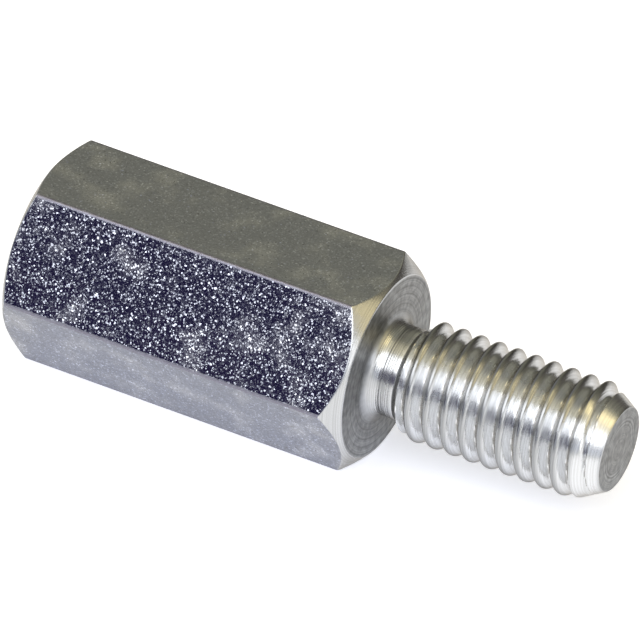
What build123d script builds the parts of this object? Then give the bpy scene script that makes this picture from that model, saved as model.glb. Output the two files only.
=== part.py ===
# Hexagonal standoff with a threaded stud at one end and a tapped hole at the other.
# It is turned from one length of drawn hexagonal steel bar, so it is one solid.
# The part lies on one flat of the hexagon, as it would on a bench: the bar's axis runs
# along X with the stud towards +X, and the origin is under the middle of its length.

import os
from math import ceil, radians, sqrt, tan

from build123d import *

# Hexagonal bar, in millimetres and degrees like everything below
across_flats = 7.85
corner_rounding = 0.12
body_length = 15.0

# Ends of the body, turned to a cone that breaks the six corners
shoulder_step = 0.14
shoulder_chamfer_angle = 42.0
far_end_step = 0.06
far_end_chamfer_angle = 30.0

# Stud: M5 coarse thread with a relief groove behind it. The first crest's distance from
# the shoulder is taken along the top of the stud. The seat clearance is how far outside
# the crests the shoulder's flat ring starts, so that a plate slid over them lies flat.
stud_length = 10.2
thread_diameter = 4.83
thread_pitch = 0.8
thread_angle = 60.0
first_crest = 1.86
neck_diameter = 3.72
neck_length = 1.19
neck_exit_angle = 45.0
seat_clearance = 0.02
tip_diameter = 3.48
tip_chamfer_angle = 30.0

# Blind hole in the far end, drilled for tapping
tap_drill_diameter = 4.2
tap_drill_depth = 10.5
drill_point_angle = 118.0
mouth_diameter = 5.3
mouth_angle = 90.0

# Room that a cutter takes outside the metal, so that it leaves no skin
cutter_overrun = 0.03

# Places along the bar, and radii, worked out from the sizes above
total_length = body_length + stud_length
axis_height = across_flats / 2
far_end_x = -total_length / 2
shoulder_x = far_end_x + body_length
bar_radius = across_flats / sqrt(3) + cutter_overrun
far_end_radius = across_flats / 2 - far_end_step
shoulder_radius = across_flats / 2 - shoulder_step
neck_radius = neck_diameter / 2
thread_radius = thread_diameter / 2
neck_fillet = thread_radius - neck_radius + seat_clearance
tip_radius = tip_diameter / 2
drill_radius = tap_drill_diameter / 2
mouth_radius = mouth_diameter / 2

# Cross-section plane seen along the bar, and the two planes of the turned profiles
far_end_plane = Plane(origin=(far_end_x, 0, axis_height), x_dir=(0, 1, 0), z_dir=(1, 0, 0))
far_end_profile = Plane(origin=(far_end_x, 0, axis_height), x_dir=(1, 0, 0), z_dir=(0, -1, 0))
shoulder_profile = Plane(origin=(shoulder_x, 0, axis_height), x_dir=(1, 0, 0), z_dir=(0, -1, 0))
turning_axis = Axis((0, 0, axis_height), (1, 0, 0))

# One turn of the thread's groove, in the standard metric form. Its depths below the
# crests are shares of the height of a sharp V of the same pitch: the groove's own V
# would come to a point at the first, and a flat root stops it at the second.
sharp_root_share = 7 / 8
flat_root_share = 17 / 24
sharp_height = thread_pitch / 2 / tan(radians(thread_angle / 2))
sharp_root = thread_radius - sharp_height * sharp_root_share
root_radius = thread_radius - sharp_height * flat_root_share
groove_top = thread_radius + cutter_overrun
root_half_width = (root_radius - sharp_root) * tan(radians(thread_angle / 2))
groove_half_width = (groove_top - sharp_root) * tan(radians(thread_angle / 2))

# The groove starts on top of the stud, over the neck, a turn and a half before the crest
# that is the first one there.
turns_before_crest = 1.5
groove_start = first_crest - thread_pitch * turns_before_crest

with BuildPart() as groove_turn:
    with BuildLine() as groove_path:
        Helix(thread_pitch, thread_pitch, thread_radius, direction=(1, 0, 0))
    with BuildSketch(Plane.XZ):
        with BuildLine():
            Polyline(
                (-root_half_width, root_radius),
                (root_half_width, root_radius),
                (groove_half_width, groove_top),
                (-groove_half_width, groove_top),
                close=True,
            )
        make_face()
    sweep(path=groove_path.wires()[0], is_frenet=True)

with BuildPart() as standoff:
    # Drawn bar, cut to the length of the body
    with BuildSketch(far_end_plane) as bar:
        RegularPolygon(across_flats / 2, side_count=6, major_radius=False)
        fillet(bar.vertices(), radius=corner_rounding)
    extrude(amount=body_length)

    # Turned outline of the body: two flat faces, each with a cone outside it. What lies
    # outside this outline is cut away, which leaves curved ends on the six flats.
    far_end_cone = (bar_radius - far_end_radius) * tan(radians(far_end_chamfer_angle))
    shoulder_cone = (bar_radius - shoulder_radius) * tan(radians(shoulder_chamfer_angle))
    with BuildSketch(far_end_profile):
        with BuildLine():
            Polyline(
                (0, 0),
                (0, far_end_radius),
                (far_end_cone, bar_radius),
                (body_length - shoulder_cone, bar_radius),
                (body_length, shoulder_radius),
                (body_length, 0),
                close=True,
            )
        make_face()
    revolve(axis=turning_axis, mode=Mode.INTERSECT)

    # Stud before threading: relief groove, cone up to the thread, and the tip's chamfer
    neck_exit = (thread_radius - neck_radius) / tan(radians(neck_exit_angle))
    tip_chamfer = (thread_radius - tip_radius) / tan(radians(tip_chamfer_angle))
    with BuildSketch(shoulder_profile):
        with BuildLine():
            Polyline(
                (0, 0),
                (0, neck_radius),
                (neck_length, neck_radius),
                (neck_length + neck_exit, thread_radius),
                (stud_length - tip_chamfer, thread_radius),
                (stud_length, tip_radius),
                (stud_length, 0),
                close=True,
            )
        make_face()
    revolve(axis=turning_axis)
    shoulder_edges = standoff.edges().filter_by_position(Axis.X, shoulder_x, shoulder_x)
    fillet(shoulder_edges.sort_by(SortBy.RADIUS)[0], radius=neck_fillet)

    # Hole drilled for tapping, with its conical bottom and countersunk mouth
    drill_point = drill_radius / tan(radians(drill_point_angle / 2))
    mouth_depth = (mouth_radius - drill_radius) / tan(radians(mouth_angle / 2))
    with BuildSketch(far_end_profile):
        with BuildLine():
            Polyline(
                (0, 0),
                (0, mouth_radius),
                (mouth_depth, drill_radius),
                (tap_drill_depth, drill_radius),
                (tap_drill_depth + drill_point, 0),
                close=True,
            )
        make_face()
    revolve(axis=turning_axis, mode=Mode.SUBTRACT)

    # Thread: the groove is cut turn by turn, from over the neck until it is past the tip
    turns = ceil((stud_length - groove_start) / thread_pitch) + 1
    groove_places = [
        (shoulder_x + groove_start + turn * thread_pitch, 0, axis_height)
        for turn in range(turns)
    ]
    with Locations(*groove_places):
        add(groove_turn.part, mode=Mode.SUBTRACT)

standoff.part.label = "standoff"

os.makedirs("parts", exist_ok=True)
export_step(standoff.part, "parts/standoff.step")
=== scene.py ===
"""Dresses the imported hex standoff: its threads, worn edges and zinc plate, on a plain pale floor.

The piece is one closed surface. A meridian runs from the middle of the stud's tip, over the
thread, the neck, the shoulder and the hexagon to the far end, and down the tapped hole to
the drill's point. It is carried round the bar's axis, and at each angle the hexagon and the
two helical threads change its distance from the axis.
"""

from math import pi, radians, sqrt, tan

import bpy
import numpy as np
from mathutils import Matrix, Vector


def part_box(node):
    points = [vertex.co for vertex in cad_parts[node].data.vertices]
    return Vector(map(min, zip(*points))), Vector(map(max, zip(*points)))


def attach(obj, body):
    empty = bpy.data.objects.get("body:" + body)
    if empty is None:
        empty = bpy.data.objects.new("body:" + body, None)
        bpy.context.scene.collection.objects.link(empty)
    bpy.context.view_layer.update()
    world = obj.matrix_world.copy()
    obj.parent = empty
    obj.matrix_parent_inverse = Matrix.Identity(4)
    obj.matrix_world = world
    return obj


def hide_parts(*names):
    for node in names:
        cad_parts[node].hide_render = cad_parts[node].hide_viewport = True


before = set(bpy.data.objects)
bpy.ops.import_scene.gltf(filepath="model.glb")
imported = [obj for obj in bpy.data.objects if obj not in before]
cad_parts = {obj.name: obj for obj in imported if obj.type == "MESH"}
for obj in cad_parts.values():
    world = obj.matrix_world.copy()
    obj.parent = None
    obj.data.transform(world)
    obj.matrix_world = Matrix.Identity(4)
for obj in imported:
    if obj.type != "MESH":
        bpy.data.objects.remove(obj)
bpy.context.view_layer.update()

bl_info = {
    "name": "Hex standoff",
    "version": (1, 0, 0),
    "blender": (4, 5, 0),
    "location": "3D View > Sidebar > Standoff",
    "description": "Builds a zinc plated hex standoff with its threads, and a plain studio round it",
    "category": "Object",
}

LOWEST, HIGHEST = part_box("standoff")
MILLIMETRE = 0.001
SIDES = 6
SECTOR = 2 * pi / SIDES

# Mesh fineness: columns on one flat between its edges, and rows in one turn of each thread
FLAT_COLUMNS = 25
STUD_ROWS_PER_TURN = 22
BORE_ROWS_PER_TURN = 10

# Thread form, as shares of the height of a sharp V of the same pitch
CREST_CUT_SHARE = 1 / 8
ROOT_CUT_SHARE = 17 / 24
THREAD_HALF_ANGLE = radians(30)

# Small lengths of the mesh: how far the thread's rows reach over the neck, how far before the
# drill's shoulder the bore's last row lies, the softening where the thread meets its turned
# blank, and how near to a place a row counts as being there
THREAD_OVERLAP = 0.06 * MILLIMETRE
BORE_END_GAP = 0.05 * MILLIMETRE
BLANK_SOFTENING = 0.02 * MILLIMETRE
SAME_PLACE = 0.001 * MILLIMETRE

# Turning marks, as shares of their full depth: on any turned surface, what a face square to
# the axis adds, on the stud, on its neck, and what the neck's end of the fillet adds
TURNED_MARKS = 0.35
FACED_MARKS = 0.65
STUD_MARKS = 1.5
NECK_MARKS = 4.0
FILLET_MARKS = 2.5

# How far turned metal off the thread is darkened towards the crest colour as an even tone, where 1 is as
# dark as a crest, how fast the painted shade on a crest fades below it, and how far the wear reaches past an
# edge's rounding
PLAIN_DULLNESS = 0.45
CREST_FADE = 3
WORN_REACH = 1.3

# Patterns of the plate: where each noise fades in, from and to, and the mean of the patches
# with what their own noise and the clouds add
PATCH_FADE = (0.3, 0.7)
CLOUD_FADE = (0.45, 0.7)
STREAK_FADE = (0.42, 0.62)
PATCH_MEAN, PATCH_SWING, PATCH_CLOUD = 0.7, 0.45, 0.15

# Crystals: the powers that make a far lean rare, and the size of the rarer kind to the other
GRAIN_RARITY, SPARKLE_RARITY, SPARKLE_SIZE = 4.3, 6.0, 1.4

# Shades, as a lowest value and what each pattern adds to it: crystals with their brightest few,
# turned metal by the painted shade on its crests with the even tone off the thread, and by streaks,
# the darker faces square to the axis by rings and by patches, and the worn edges
CRYSTAL_SHADE, CRYSTAL_SWING, GLINT, GLINT_RARITY = 0.86, 0.22, 0.65, 12.0
TONE_AND_CREST_SHADE_SHARE, STREAK_SHARE = 0.9, 0.2
RING_SHADE, RING_SWING = 0.55, 0.9
FACE_SHADE, FACE_SWING = 0.2, 0.84
WORN_SHADE, WORN_SWING = 0.25, 0.55

# Tint of the plate at grazing angles, which is a constant of the whole surface
GRAZING_TINT = (0.55, 0.52, 0.47, 1.0)

# The photograph's camera: its place, the point that it looks at, its turn about the line
# between them, and a long lens on a 36 mm sensor
CAMERA_PLACE = Vector((0.212448, -0.460178, 0.359032))
CAMERA_AIM = Vector((-0.000757, 0.000289, 0.004756))
CAMERA_ROLL = radians(4.815)
CAMERA_LENS = 889.8

# How far the floor reaches from the origin, and how far the camera sees, in metres
FLOOR_REACH = 3.0
CAMERA_REACH = 10.0


def length(name, description, default):
    """A size in metres, shown in the scene's own unit."""
    return bpy.props.FloatProperty(
        name=name, description=description, default=default, min=0.0,
        precision=6, unit="LENGTH", subtype="DISTANCE",
    )


def turn(name, description, default):
    """An angle, kept in radians and shown in degrees."""
    return bpy.props.FloatProperty(
        name=name, description=description, default=radians(default), subtype="ANGLE", unit="ROTATION",
    )


def tint(name, description, default):
    """A colour, given as the light that the surface sends back."""
    return bpy.props.FloatVectorProperty(
        name=name, description=description, default=default, size=3, min=0.0, max=4.0, subtype="COLOR",
    )


def share(name, description, default, highest=1.0):
    """A plain number from nought up."""
    return bpy.props.FloatProperty(
        name=name, description=description, default=default, min=0.0, max=highest, subtype="FACTOR",
    )


class StandoffSizes(bpy.types.PropertyGroup):
    across_flats: length("Across flats", "Width of the hexagonal bar", HIGHEST.z - LOWEST.z)
    corner_rounding: length("Corner rounding", "Radius along the bar's six edges", 0.12 * MILLIMETRE)
    stud_length: length("Stud length", "From the shoulder to the tip", 10.2 * MILLIMETRE)
    shoulder_step: length("Shoulder step", "From a flat in to the shoulder's face", 0.14 * MILLIMETRE)
    shoulder_angle: turn("Shoulder chamfer", "Angle of the cone at the shoulder", 42)
    far_end_step: length("Far end step", "From a flat in to the far end's face", 0.06 * MILLIMETRE)
    far_end_angle: turn("Far end chamfer", "Angle of the cone at the far end", 30)
    thread_diameter: length("Thread diameter", "Over the crests of the stud", 4.83 * MILLIMETRE)
    thread_pitch: length("Thread pitch", "From crest to crest", 0.8 * MILLIMETRE)
    first_crest: length("First crest", "From the shoulder, along the top", 1.86 * MILLIMETRE)
    crest_rounding: length("Crest rounding", "How far the crests are softened", 0.32 * MILLIMETRE)
    root_rounding: length("Root rounding", "How far the roots are softened", 0.06 * MILLIMETRE)
    neck_diameter: length("Neck diameter", "Relief groove behind the thread", 3.72 * MILLIMETRE)
    neck_length: length("Neck length", "From the shoulder to the cone up to the thread", 1.19 * MILLIMETRE)
    seat_clearance: length("Seat clearance", "From the crests out to the flat ring", 0.02 * MILLIMETRE)
    tip_diameter: length("Tip diameter", "Flat face at the end of the stud", 3.48 * MILLIMETRE)
    tip_angle: turn("Tip chamfer", "Angle from the axis", 30)
    drill_angle: turn("Drill point", "Angle of the drill's point, across it", 118)
    bore_diameter: length("Bore diameter", "Hole drilled for tapping", 4.2 * MILLIMETRE)
    bore_depth: length("Bore depth", "From the far end to the drill's shoulder", 10.5 * MILLIMETRE)
    tapped_diameter: length("Tapped diameter", "Bottom of the inner thread's grooves", 5.0 * MILLIMETRE)
    tapped_depth: length("Tapped depth", "From the far end to the last full turn", 8.2 * MILLIMETRE)
    mouth_diameter: length("Mouth diameter", "Countersink at the far end", 5.3 * MILLIMETRE)
    edge_rounding: length("Edge rounding", "Softening of the turned edges", 0.05 * MILLIMETRE)


class ZincFinish(bpy.types.PropertyGroup):
    plate: tint("Plate", "Colour of the zinc plate", (0.335, 0.355, 0.416))
    cloud: tint("Cloud", "Colour of the plate's cloudy patches", (0.465, 0.482, 0.53))
    edge: tint("Edge", "Colour of the bar's worn edges", (0.23, 0.22, 0.28))
    turned: tint("Turned", "Colour of the bright metal on turned surfaces", (0.73, 0.745, 0.77))
    # Painted shade: the crest colour darkens the thread's crests, and also colours the turning streaks and
    # the even tone off the thread
    crest: tint("Crest", "Colour of the duller thread crests and turning streaks", (0.30, 0.31, 0.325))
    # Painted shade: faces square to the axis get a darker colour than the turned metal; their rings and
    # patches are real
    faced_and_painted_shade: tint("Faced", "Colour of the dull faces square to the axis", (0.298, 0.308, 0.325))
    cloud_size: length("Cloud size", "Width of the cloudy patches", 1.5 * MILLIMETRE)
    grain_size: length("Grain size", "Width of one crystal of the plate", 0.044 * MILLIMETRE)
    grain_tilt: share("Grain tilt", "How far the crystals lean", 0.48, 2.0)
    sparkle_tilt: share("Sparkle tilt", "How far a few of them lean more", 0.5, 2.0)
    turned_lean: share("Turned lean", "Share of the crystals' lean left on turned faces", 0.18)
    patch_size: length("Patch size", "Width of the patches where the crystals lean more", 0.3 * MILLIMETRE)
    roughness: share("Roughness", "Roughness of the plate", 0.10)
    grain_roughness: share("Grain roughness", "What the dullest crystals add to it", 0.12)
    cloud_roughness: share("Cloud roughness", "What a cloudy patch adds to it", 0.09)
    turned_roughness: share("Turned roughness", "Roughness of the turned faces", 0.23)
    faced_roughness: share("Faced roughness", "Roughness of the faces square to the axis", 0.42)
    edge_roughness: share("Edge roughness", "What the bar's worn edges add", 0.35)
    ring_spacing: length("Ring spacing", "From one turning mark to the next", 0.08 * MILLIMETRE)
    ring_depth: length("Ring depth", "Depth of the turning marks", 0.003 * MILLIMETRE)


class StudioLight(bpy.types.PropertyGroup):
    floor: tint("Floor", "Colour of the floor", (0.76, 0.77, 0.815))
    far_floor: tint("Far floor", "Colour of the floor further off", (0.44, 0.445, 0.46))
    fade_start: length("Fade start", "Where the floor starts to fade, from the middle", 34 * MILLIMETRE)
    fade_end: length("Fade end", "Where the floor has its far colour", 70 * MILLIMETRE)
    floor_lift: share("Floor lift", "Light that the floor adds to its own look", 0.6364)
    level: share("Level", "Strength of the whole studio", 1.0, 4.0)
    back: tint("Back", "Dim wall behind", (0.19, 0.182, 0.14))
    panel: tint("Panel", "Lighter olive part of the wall behind", (0.435, 0.415, 0.31))
    skirting: tint("Skirting", "Darker foot of the wall behind", (0.11, 0.10, 0.09))
    rail: tint("Rail", "Upper part of the wall behind", (0.32, 0.31, 0.24))
    overhead: tint("Overhead", "Warm ceiling", (1.05, 0.95, 0.65))
    window: tint("Window", "Long window above the camera", (3.0, 3.0, 3.0))
    sill: tint("Sill", "Pale wall below the window", (0.66, 0.69, 0.76))
    front: tint("Front", "Dark spot in front, that the nearest flat mirrors", (0.028, 0.02, 0.085))
    left: tint("Left", "Wall on the left", (0.45, 0.45, 0.47))
    lamp: tint("Lamp", "Warm light beyond the stud", (1.15, 0.98, 0.58))
    side: tint("Side", "White wall on the right", (2.2, 2.2, 2.2))
    sun: tint("Sun", "Small warm lamp high on the right", (2.3, 1.9, 1.0))


# Surface of the standoff


def column_angles(sizes):
    """Angles of the columns round the axis. Each sixth of a turn starts at an edge of the bar: a few
    columns lie close together over the edge's rounding, and the rest are even across the flat."""
    half = edge_half_angle(sizes)
    edge = np.array([-1.7, -1.0, -0.5, 0.0, 0.5, 1.0, 1.7]) * half
    flat = np.linspace(edge[-1], SECTOR + edge[0], FLAT_COLUMNS + 2)[1:-1]
    sector = np.concatenate([edge, flat])
    return (np.arange(SIDES)[:, None] * SECTOR + sector[None, :]).ravel()


def edge_half_angle(sizes):
    """Angle from the middle of a rounded edge to where the flat begins, seen from the axis."""
    centre = sizes.across_flats / sqrt(3) - sizes.corner_rounding / np.cos(SECTOR / 2)
    return np.arctan2(sizes.corner_rounding / 2, centre + sizes.corner_rounding * np.cos(SECTOR / 2))


def hexagon_radius(sizes, angle):
    """Distance from the axis to the bar's outline: half the width over the cosine of the angle from the
    nearest flat's middle, and over an edge the far side of a circle set in the corner."""
    from_edge = (angle + SECTOR / 2) % SECTOR - SECTOR / 2
    from_flat = SECTOR / 2 - np.abs(from_edge)
    flat = sizes.across_flats / 2 / np.cos(from_flat)
    centre = sizes.across_flats / sqrt(3) - sizes.corner_rounding / np.cos(SECTOR / 2)
    inside = np.maximum(sizes.corner_rounding**2 - (centre * np.sin(from_edge)) ** 2, 0)
    rounded = centre * np.cos(from_edge) + np.sqrt(inside)
    return np.where(np.abs(from_edge) < edge_half_angle(sizes), rounded, flat)


def soft_min(first, second, width):
    """The lower of two heights, with a parabola over the corner between them."""
    mix = np.clip(0.5 + 0.5 * (second - first) / width, 0, 1)
    return second + (first - second) * mix - width * mix * (1 - mix)


def soft_max(first, second, width):
    """The higher of two heights, with a parabola in the corner between them."""
    return -soft_min(-first, -second, width)


def thread_radius(sizes, place, angle, crest, root):
    """Distance from the axis to a right-hand thread. A place and an angle give how far a point is from
    the nearest crest along the axis. A sharp V falls from there, cut off at the crest and the root."""
    turns = (place - sizes.first_crest) / sizes.thread_pitch - (angle - pi / 2) / (2 * pi)
    away = np.abs(turns - np.round(turns)) * sizes.thread_pitch
    sharp = sizes.thread_pitch / 2 / tan(THREAD_HALF_ANGLE) * CREST_CUT_SHARE
    soft = sizes.crest_rounding
    lost = soft / 4 * (1 - min(sharp / soft, 1.0) ** 2)
    fall = crest + sharp - away / tan(THREAD_HALF_ANGLE)
    return soft_max(soft_min(fall, crest + 0 * fall, soft) + lost, root + 0 * fall, sizes.root_rounding)


def thread_depth(sizes):
    """Depth of the stud's groove below its crests, as a share of a sharp V's height."""
    return sizes.thread_pitch / 2 / tan(THREAD_HALF_ANGLE) * ROOT_CUT_SHARE


def stud_radius(sizes, place, angle):
    """The stud at a distance from the shoulder: the lower of the thread and its turned blank, which is
    the neck, a 45 degree cone, the crests' cylinder and the tip's chamfer."""
    crest = sizes.thread_diameter / 2
    neck = sizes.neck_diameter / 2
    cone = neck + np.maximum(place - sizes.neck_length, 0)
    tip = sizes.tip_diameter / 2 + (sizes.stud_length - place) * tan(sizes.tip_angle)
    blank = np.minimum(np.minimum(cone, crest), tip)
    thread = thread_radius(sizes, place, angle, crest, crest - thread_depth(sizes))
    return soft_min(thread, blank + 0 * angle, BLANK_SOFTENING)


def bore_radius(sizes, depth, angle):
    """The tapped hole at a depth from the far end: the larger of the mouth's cone, the bore and the
    groove of the inner thread, which fades out over a turn and a half past the tapped depth."""
    bore = sizes.bore_diameter / 2
    mouth = np.maximum(sizes.mouth_diameter / 2 - depth, bore)
    fade = np.clip((depth - sizes.tapped_depth) / (1.5 * sizes.thread_pitch), 0, 1)
    groove = sizes.tapped_diameter / 2 - fade * (sizes.tapped_diameter / 2 - bore + sizes.crest_rounding)
    thread = thread_radius(sizes, -depth, angle, groove, bore)
    return np.maximum(np.maximum(thread, mouth), bore)


def rounded(corners, softening, steps=4):
    """Rows of a meridian through corners, each a place and a radius at every angle. Where a corner has a
    softening, it becomes a short parabola between points that far along its two sides."""
    rows = [corners[0]]
    for before, corner, after, soft in zip(corners, corners[1:], corners[2:], softening):
        if not soft:
            rows.append(corner)
            continue
        sides = [other - corner for other in (before, after)]
        spans = [np.linalg.norm(side, axis=0) for side in sides]
        reach = np.minimum(soft, 0.45 * np.minimum(*spans))
        start, end = (corner + side * reach / span for side, span in zip(sides, spans))
        for t in np.linspace(0, 1, steps):
            rows.append((1 - t) ** 2 * start + 2 * t * (1 - t) * corner + t**2 * end)
    return rows + [corners[-1]]


def meridian(sizes, angle):
    """All rows from the tip's middle to the drill's point, as places and radii at every angle, with how
    each point was finished, and the two places on the axis that close it. Places are measured from the
    shoulder, the stud being ahead."""
    one = np.ones_like(angle)
    at = lambda place, radius: np.stack([place * one, radius * one])
    soft = sizes.edge_rounding
    crest = sizes.thread_diameter / 2
    neck = sizes.neck_diameter / 2
    tip = sizes.tip_diameter / 2
    body = HIGHEST.x - LOWEST.x - sizes.stud_length
    hexagon = hexagon_radius(sizes, angle)

    # Tip face, its softened edge, and the first of the chamfer
    past = 1.2 * soft
    tip_rows = rounded(
        [at(sizes.stud_length, r * tip) for r in (0.004, 0.35, 0.7, 0.92)]
        + [at(sizes.stud_length, tip), at(sizes.stud_length - past, tip + past * tan(sizes.tip_angle))],
        [0, 0, 0, soft],
    )

    # Thread, from the chamfer back over the neck
    step = sizes.thread_pitch / STUD_ROWS_PER_TURN
    places = np.arange(sizes.stud_length - past - step, sizes.neck_length - THREAD_OVERLAP, -step)
    thread_rows = [np.stack([p * one, stud_radius(sizes, p, angle)]) for p in places]

    # Neck, the fillet's quarter circle, and the shoulder's ring
    fillet = crest - neck + sizes.seat_clearance
    neck_rows = [at(p, neck) for p in np.linspace(places[-1] - step, fillet, 5)[:-1]]
    quarter = np.linspace(0, pi / 2, 12)
    fillet_rows = [at(fillet * (1 - np.sin(a)), neck + fillet * (1 - np.cos(a))) for a in quarter]
    fillet_from = len(tip_rows + thread_rows + neck_rows)

    # Shoulder ring, cone, hexagon, cone and far ring, with rows kept close to each edge
    shoulder = sizes.across_flats / 2 - sizes.shoulder_step
    far = sizes.across_flats / 2 - sizes.far_end_step
    near_cone = (hexagon - shoulder) * tan(sizes.shoulder_angle)
    far_cone = (hexagon - far) * tan(sizes.far_end_angle)
    mouth = sizes.mouth_diameter / 2
    keep = 2.5 * soft
    body_rows = rounded(
        [at(0, fillet + neck + f * (shoulder - fillet - neck)) for f in (0.15, 0.5, 0.9)]
        + [at(0, shoulder), np.stack([-near_cone, hexagon]), np.stack([-near_cone - keep, hexagon])]
        + [np.stack([-near_cone + f * (near_cone + far_cone - body), hexagon]) for f in (0.25, 0.5, 0.75)]
        + [np.stack([far_cone + keep - body, hexagon]), np.stack([far_cone - body, hexagon])]
        + [at(-body, far), at(-body, far - keep), at(-body, mouth + keep), at(-body, mouth)]
        + [at(-body + soft, mouth - soft)],
        [0, 0, soft, soft, 0, 0, 0, 0, 0, soft, soft, 0, 0, soft],
    )

    # Tapped hole and the cone that the drill's point leaves
    bore = sizes.bore_diameter / 2
    step = sizes.thread_pitch / BORE_ROWS_PER_TURN
    depths = np.arange(soft + step / 2, sizes.tapped_depth + 2 * sizes.thread_pitch, step)
    bore_rows = [np.stack([(d - body) * one, bore_radius(sizes, d, angle)]) for d in depths]
    point = bore / tan(sizes.drill_angle / 2)
    end_rows = [at(sizes.bore_depth - BORE_END_GAP - body, bore)]
    end_rows += [at(sizes.bore_depth + f * point - body, bore * (1 - f)) for f in (0, 0.04, 0.5, 0.996)]

    rows = np.stack(tip_rows + thread_rows + neck_rows + fillet_rows + body_rows + bore_rows + end_rows)
    parts = {
        "stud": slice(0, fillet_from),
        "thread": slice(len(tip_rows), len(tip_rows + thread_rows)),
        "neck": slice(fillet_from - len(neck_rows), fillet_from),
        "fillet": slice(fillet_from, fillet_from + quarter.size),
    }
    flats = (sizes.stud_length, 0, -body)
    ends = (sizes.stud_length, sizes.bore_depth + point - body)
    return rows, point_finish(sizes, angle, rows, parts, flats, quarter), ends


def point_finish(sizes, angle, rows, parts, flats, quarter):
    """How each point was finished, and where shade is painted. Along is the distance down the meridian in
    millimetres, the same at all angles up to the fillet. Turned is 1 off the drawn flats. The share for faces
    square to the axis is 1 there and rises over the fillet as the fourth power of its sine; it gives their
    rougher finish, deeper marks and the painted shade in their colour. The share of painted crest shade falls
    from 1 at a thread's crest to 0 in its groove, and is an even tone elsewhere. Marks are how deep the
    turning marks are, and worn is 1 along the bar's six edges."""
    one = np.ones_like(angle)
    same = lambda values, target: np.abs(values - target).max(axis=-1) < SAME_PLACE
    drawn = same(rows[:, 1], hexagon_radius(sizes, angle))
    # Faces square to the axis: a rougher finish with deeper turning marks, and painted shade in their colour
    faced_and_painted_shade = (sum(same(rows[:, 0], place) for place in flats) > 0) * 1.0
    faced_and_painted_shade[parts["fillet"]] = np.sin(quarter) ** 4

    # Painted shade on the thread: 1 at a crest, fading to 0 in the groove; off the thread an even tone
    below = (rows[parts["thread"], 1] - sizes.thread_diameter / 2) / thread_depth(sizes)
    tone_and_painted_crest_shade = PLAIN_DULLNESS + 0 * rows[:, 1]
    tone_and_painted_crest_shade[parts["thread"]] = np.clip(below * CREST_FADE + 1, 0, 1)

    marks = TURNED_MARKS * ~drawn + FACED_MARKS * faced_and_painted_shade
    marks[parts["stud"]] = np.maximum(marks[parts["stud"]], STUD_MARKS)
    marks[parts["neck"]] = NECK_MARKS
    marks[parts["fillet"]] += FILLET_MARKS * np.cos(quarter) ** 2

    steps = np.linalg.norm(np.diff(rows, axis=0), axis=1)
    steps[parts["stud"]] = steps[parts["stud"]].mean(axis=1, keepdims=True)
    from_edge = np.abs((angle + SECTOR / 2) % SECTOR - SECTOR / 2)
    return {
        "along": np.concatenate([0 * steps[:1], np.cumsum(steps, axis=0)]) / MILLIMETRE,
        "turned": ~drawn[:, None] & (one > 0),
        "faced_and_painted_shade": faced_and_painted_shade[:, None] * one,
        "tone_and_painted_crest_shade": tone_and_painted_crest_shade,
        "marks": marks[:, None] * one,
        "worn": drawn[:, None] & (from_edge < WORN_REACH * edge_half_angle(sizes)),
    }


def standoff_mesh(sizes):
    """Puts the meridian's rows round the axis: a point lies at its place along X, and its radius times
    the cosine and the sine of its angle across Y and Z. Quads join the rows, and a fan closes each end."""
    angle = column_angles(sizes)
    rows, finish, ends = meridian(sizes, angle)
    count, columns = rows.shape[0], angle.size
    shoulder = HIGHEST.x - sizes.stud_length
    axis = LOWEST.z + sizes.across_flats / 2
    place, radius = rows[:, 0], rows[:, 1]
    grid = np.stack([shoulder + place, radius * np.cos(angle), axis + radius * np.sin(angle)], -1)
    poles = np.array([[shoulder + end, 0, axis] for end in ends])
    points = np.concatenate([grid.reshape(-1, 3), poles])
    points = np.clip(points, np.array(LOWEST), np.array(HIGHEST))

    index = np.arange(count * columns).reshape(count, columns)
    beside = np.roll(index, -1, axis=1)
    quads = np.stack([index[:-1], index[1:], beside[1:], beside[:-1]], -1).reshape(-1, 4)
    first_fan = np.stack([index[0], beside[0], np.full(columns, count * columns)], -1)
    last_fan = np.stack([beside[-1], index[-1], np.full(columns, count * columns + 1)], -1)

    mesh = bpy.data.meshes.new("standoff_surface")
    mesh.from_pydata(points.tolist(), [], quads.tolist() + first_fan.tolist() + last_fan.tolist())
    for name, values in finish.items():
        ends = values[[0, -1], 0]
        layer = mesh.attributes.new(name, "FLOAT", "POINT")
        layer.data.foreach_set("value", np.concatenate([values.ravel(), ends]).astype(np.float32))
    mesh.update()
    if mesh.validate(verbose=False):
        raise RuntimeError("the standoff's surface has faces that don't hold together")
    return mesh


# Materials


class Value:
    """A shader socket in Python arithmetic: each sign adds the Math node that it stands for."""

    def __init__(self, graph, socket):
        self.graph, self.socket = graph, socket

    def _sign(self, operation, first, second):
        made = self.graph.add("ShaderNodeMath", {"operation": operation}, {0: first, 1: second})
        return self.graph.out(made, 0)

    def __add__(self, other): return self._sign("ADD", self, other)
    def __radd__(self, other): return self._sign("ADD", other, self)
    def __sub__(self, other): return self._sign("SUBTRACT", self, other)
    def __rsub__(self, other): return self._sign("SUBTRACT", other, self)
    def __mul__(self, other): return self._sign("MULTIPLY", self, other)
    def __rmul__(self, other): return self._sign("MULTIPLY", other, self)
    def __pow__(self, other): return self._sign("POWER", self, other)


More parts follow.
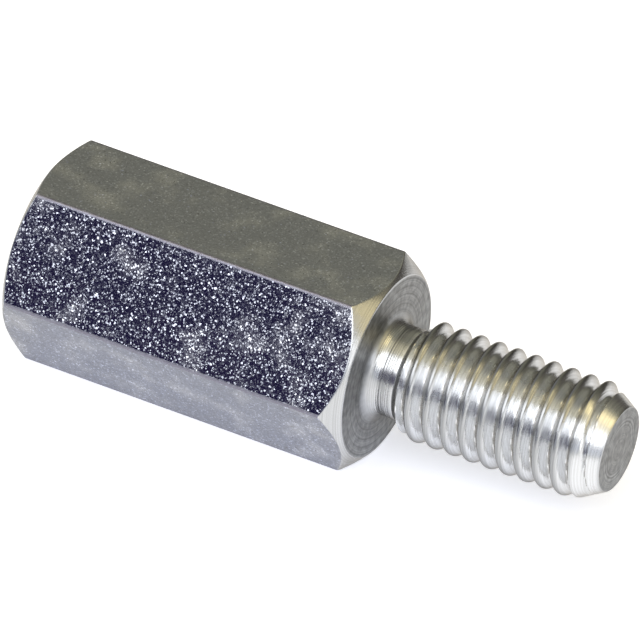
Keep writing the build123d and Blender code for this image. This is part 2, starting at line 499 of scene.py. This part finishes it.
class Graph:
    """A node tree that is built by naming nodes and what goes into their sockets."""

    def __init__(self, tree):
        self.tree = tree
        tree.nodes.clear()

    def add(self, kind, settings=None, sockets=None):
        node = self.tree.nodes.new(kind)
        for name, value in (settings or {}).items():
            setattr(node, name, value)
        for name, value in (sockets or {}).items():
            if isinstance(value, Value):
                self.tree.links.new(value.socket, node.inputs[name])
            else:
                node.inputs[name].default_value = value
        return node

    def out(self, node, name):
        return Value(self, node.outputs[name])

    def vector(self, operation, *parts):
        """A Vector Math node on up to three vectors. A scale takes its number as the second part."""
        names = {0: parts[0], "Scale": parts[1]} if operation == "SCALE" else dict(enumerate(parts))
        made = self.add("ShaderNodeVectorMath", {"operation": operation}, names)
        return self.out(made, "Value" if operation == "DOT_PRODUCT" else "Vector")

    def mix(self, factor, first, second):
        """A colour between two colours."""
        made = self.add("ShaderNodeMix", {"data_type": "RGBA"}, {0: factor, 6: first, 7: second})
        return self.out(made, 2)

    def between(self, value, low, high):
        """0 below low, 1 above high, and a smooth rise from one to the other."""
        sockets = {"Value": value, "From Min": low, "From Max": high}
        made = self.add("ShaderNodeMapRange", {"interpolation_type": "SMOOTHSTEP"}, sockets)
        return self.out(made, "Result")

    def noise(self, place, scale, detail=2.0):
        made = self.add("ShaderNodeTexNoise", None, {"Vector": place, "Scale": scale, "Detail": detail})
        return self.out(made, "Factor" if "Factor" in made.outputs else "Fac")


def opaque(colour):
    return (*colour, 1.0)


def leaning_crystals(graph, place, normal, size, tilt, rarity):
    """Leans the normal by a random push in each crystal, and gives the crystal's own random number. Its
    power makes a far lean rare."""
    cells = graph.add("ShaderNodeTexVoronoi", None, {"Vector": place, "Scale": 1 / size})
    number = graph.add("ShaderNodeTexWhiteNoise", None, {"Vector": graph.out(cells, "Position")})
    amount = graph.out(number, "Value")
    push = graph.vector("SUBTRACT", graph.out(cells, "Color"), (0.5, 0.5, 0.5))
    push = graph.vector("SCALE", push, amount**rarity * tilt)
    return graph.vector("ADD", normal, push), amount


def zinc_plate(finish):
    """Bright zinc: crystals that each lean their own way, with cloudy patches and worn edges. Where the
    surface was cut on a lathe it is brighter and has turning marks that follow the meridian; its thread
    crests and its faces square to the axis are painted darker, as painted shade, and those faces are rougher."""
    material = bpy.data.materials.new("zinc_plate")
    material.use_nodes = True
    graph = Graph(material.node_tree)
    place = graph.vector("SCALE", graph.out(graph.add("ShaderNodeTexCoord"), "Object"), 1 / MILLIMETRE)
    attribute = lambda name: graph.out(graph.add("ShaderNodeAttribute", {"attribute_name": name}), "Fac")
    turned, faced_and_painted_shade, tone_and_painted_crest_shade = (attribute(name) for name in ("turned", "faced_and_painted_shade", "tone_and_painted_crest_shade"))
    worn, along, marks = (attribute(name) for name in ("worn", "along", "marks"))

    # Patches and clouds
    patch = graph.between(graph.noise(place, MILLIMETRE / finish.patch_size, 2.0), *PATCH_FADE)
    cloud = graph.between(graph.noise(place, MILLIMETRE / finish.cloud_size, 4.0), *CLOUD_FADE)
    patch = PATCH_MEAN + PATCH_SWING * patch + PATCH_CLOUD * cloud

    # Crystals, and a second, rarer and larger kind
    lean = graph.out(graph.add("ShaderNodeNewGeometry"), "Normal")
    grain = finish.grain_size / MILLIMETRE
    lean_left = patch * (1 - (1 - finish.turned_lean) * turned)
    for size, tilt, rarity in (
        (grain, finish.grain_tilt, GRAIN_RARITY),
        (SPARKLE_SIZE * grain, finish.sparkle_tilt, SPARKLE_RARITY),
    ):
        lean, amount = leaning_crystals(graph, place, lean, size, tilt * lean_left, rarity)
    lean = graph.vector("NORMALIZE", lean)

    # Turning marks
    rings = graph.add(
        "ShaderNodeTexNoise", {"noise_dimensions": "1D"},
        {"W": along * (MILLIMETRE / finish.ring_spacing), "Scale": 1.0, "Detail": 1.0},
    )
    ring = graph.out(rings, 0)
    height = ring * marks * finish.ring_depth
    surface = graph.add("ShaderNodeBump", None, {"Height": height, "Distance": 1.0, "Normal": lean})

    # Colour: the plate, its worn edges, the turned metal with painted shade on its crests, and the faces
    # square to the axis, painted darker as shade
    shade = CRYSTAL_SHADE + CRYSTAL_SWING * amount + GLINT * amount**GLINT_RARITY
    colour = graph.mix(cloud, opaque(finish.plate), opaque(finish.cloud))
    colour = graph.vector("SCALE", colour, shade)
    colour = graph.mix(worn * (WORN_SHADE + WORN_SWING * patch), colour, opaque(finish.edge))
    # Painted shade on the crests, the even tone off the thread and real turning streaks mix the crest colour
    # into the turned metal
    darkening = tone_and_painted_crest_shade * TONE_AND_CREST_SHADE_SHARE + graph.between(ring, *STREAK_FADE) * STREAK_SHARE
    metal = graph.mix(darkening, opaque(finish.turned), opaque(finish.crest))
    # Painted shade: faces square to the axis take a darker colour, with real turning rings and patches on it
    face_shade = (RING_SHADE + RING_SWING * ring) * (FACE_SHADE + FACE_SWING * patch)
    face = graph.vector("SCALE", tuple(finish.faced_and_painted_shade), face_shade)
    colour = graph.mix(turned, colour, metal)
    colour = graph.mix(faced_and_painted_shade, colour, face)

    # Roughness: each finish adds its own to the plate's
    rough = finish.roughness + cloud * finish.cloud_roughness + worn * finish.edge_roughness
    rough = rough + amount * amount * finish.grain_roughness * (1 - turned)
    rough = rough + turned * (finish.turned_roughness - finish.roughness)
    rough = rough + faced_and_painted_shade * (finish.faced_roughness - finish.turned_roughness)
    shader = graph.add(
        "ShaderNodeBsdfPrincipled", None,
        {
            "Base Color": colour, "Roughness": rough, "Metallic": 1.0,
            "Specular Tint": GRAZING_TINT, "Normal": graph.out(surface, 0),
        },
    )
    graph.add("ShaderNodeOutputMaterial", None, {"Surface": graph.out(shader, 0)})
    return material


def pale_floor(studio):
    """A plain floor that keeps the shadow, lifted where it is looked at or mirrored, and a shade darker
    further off, by the distance from the origin."""
    material = bpy.data.materials.new("pale_floor")
    material.use_nodes = True
    graph = Graph(material.node_tree)
    rays = graph.add("ShaderNodeLightPath")
    camera, glossy = graph.out(rays, "Is Camera Ray"), graph.out(rays, "Is Glossy Ray")
    seen = camera + glossy + graph.out(rays, "Is Transmission Ray")
    place = graph.out(graph.add("ShaderNodeTexCoord"), "Object")
    away = graph.vector("DOT_PRODUCT", place, place) ** 0.5
    far = graph.between(away, studio.fade_start, studio.fade_end)
    colour = graph.mix(far, opaque(studio.floor), opaque(studio.far_floor))
    paint = graph.add("ShaderNodeBsdfDiffuse", None, {"Color": colour})
    lift = seen * studio.floor_lift
    glow = graph.add("ShaderNodeEmission", None, {"Color": colour, "Strength": lift})
    both = graph.add("ShaderNodeAddShader", None, {0: graph.out(paint, 0), 1: graph.out(glow, 0)})
    graph.add("ShaderNodeOutputMaterial", None, {"Surface": graph.out(both, 0)})
    return material


def studio_world(studio):
    """Soft light from all round, whose colour depends on the direction alone. Soft areas lie on a dim
    wall, each over the ones before it. The cosine between a direction and an area's middle fades its
    colour in, from the fourth number to the fifth. Squeezing the direction along X first makes the
    area a long band."""
    world = bpy.data.worlds.new("studio")
    world.use_nodes = True
    graph = Graph(world.node_tree)
    way = graph.out(graph.add("ShaderNodeTexCoord"), "Generated")
    colour = opaque(studio.back)
    round_spot, band = (1.0, 1.0, 1.0), (0.25, 1.0, 1.0)
    lobes = (
        (studio.skirting, round_spot, (0.35, 0.93, -0.05), 0.80, 0.95),
        (studio.panel, round_spot, (-0.34, 0.74, 0.57), 0.90, 0.97),
        (studio.rail, band, (0.0, 0.41, 0.91), 0.905, 0.99),
        (studio.left, round_spot, (-0.9, 0.25, 0.35), 0.80, 0.95),
        (studio.lamp, round_spot, (0.89, 0.24, 0.38), 0.935, 0.985),
        (studio.side, round_spot, (0.955, -0.25, 0.08), 0.94, 0.988),
        (studio.overhead, band, (0.0, -0.21, 0.98), 0.848, 0.994),
        (studio.sill, band, (0.0, -0.98, 0.17), 0.90, 0.97),
        (studio.window, band, (0.0, -0.68, 0.73), 0.90, 0.978),
        (studio.sun, round_spot, (0.53, 0.15, 0.83), 0.965, 0.99),
        (studio.front, (0.7, 1.0, 1.0), (-0.24, -0.904, 0.24), 0.94, 0.983),
    )
    for shade, squeeze, towards, edge, full in lobes:
        squeezed = graph.vector("NORMALIZE", graph.vector("MULTIPLY", way, squeeze))
        facing = graph.vector("DOT_PRODUCT", squeezed, tuple(Vector(towards).normalized()))
        colour = graph.mix(graph.between(facing, edge, full), colour, opaque(shade))
    back = graph.add("ShaderNodeBackground", None, {"Color": colour, "Strength": studio.level})
    graph.add("ShaderNodeOutputWorld", None, {"Surface": graph.out(back, 0)})
    return world


# Operators and panel


class OBJECT_OT_hex_standoff(bpy.types.Operator):
    """Build the standoff's surface and its zinc plate, in place of the plain solid"""

    bl_idname = "object.hex_standoff"
    bl_label = "Build hex standoff"

    def execute(self, context):
        scene = context.scene
        mesh = standoff_mesh(scene.standoff_sizes)
        mesh.shade_smooth()
        mesh.set_sharp_from_angle(angle=radians(38))
        mesh.materials.append(zinc_plate(scene.standoff_finish))
        piece = bpy.data.objects.new("hex_standoff_dressed", mesh)
        scene.collection.objects.link(piece)
        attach(piece, "root")
        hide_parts("standoff")
        return {"FINISHED"}


class SCENE_OT_standoff_stage(bpy.types.Operator):
    """Lay the floor, light the studio and place the camera at the photograph's viewing angle"""

    bl_idname = "scene.standoff_stage"
    bl_label = "Build stage"

    def execute(self, context):
        scene = context.scene
        mesh = bpy.data.meshes.new("floor")
        corners = [(x * FLOOR_REACH, y * FLOOR_REACH, 0) for x, y in ((-1, -1), (1, -1), (1, 1), (-1, 1))]
        mesh.from_pydata(corners, [], [(0, 1, 2, 3)])
        mesh.materials.append(pale_floor(scene.standoff_studio))
        floor = bpy.data.objects.new("floor", mesh)
        scene.collection.objects.link(floor)

        scene.world = studio_world(scene.standoff_studio)
        scene.view_settings.view_transform = "Standard"

        camera = bpy.data.cameras.new("camera")
        camera.lens = CAMERA_LENS
        camera.clip_end = CAMERA_REACH
        holder = bpy.data.objects.new("camera", camera)
        scene.collection.objects.link(holder)
        facing = (CAMERA_AIM - CAMERA_PLACE).to_track_quat("-Z", "Y").to_matrix().to_4x4()
        holder.matrix_world = Matrix.Translation(CAMERA_PLACE) @ facing @ Matrix.Rotation(CAMERA_ROLL, 4, "Z")
        scene.camera = holder
        return {"FINISHED"}


class VIEW3D_PT_hex_standoff(bpy.types.Panel):
    """Sizes, finish and studio of the standoff"""

    bl_label = "Hex standoff"
    bl_space_type = "VIEW_3D"
    bl_region_type = "UI"
    bl_category = "Standoff"

    def draw(self, context):
        for scene_name, group in GROUPS.items():
            box = self.layout.box()
            for name in group.__annotations__:
                box.prop(getattr(context.scene, scene_name), name)
        for operator in (OBJECT_OT_hex_standoff, SCENE_OT_standoff_stage):
            self.layout.operator(operator.bl_idname)


CLASSES = (
    StandoffSizes, ZincFinish, StudioLight,
    OBJECT_OT_hex_standoff, SCENE_OT_standoff_stage, VIEW3D_PT_hex_standoff,
)
GROUPS = {"standoff_sizes": StandoffSizes, "standoff_finish": ZincFinish, "standoff_studio": StudioLight}


def register():
    for made in CLASSES:
        bpy.utils.register_class(made)
    for name, group in GROUPS.items():
        setattr(bpy.types.Scene, name, bpy.props.PointerProperty(type=group))


def unregister():
    for name in GROUPS:
        delattr(bpy.types.Scene, name)
    for made in reversed(CLASSES):
        bpy.utils.unregister_class(made)


def main():
    register()
    bpy.ops.object.hex_standoff()
    bpy.ops.scene.standoff_stage()


if __name__ == "__main__":
    main()
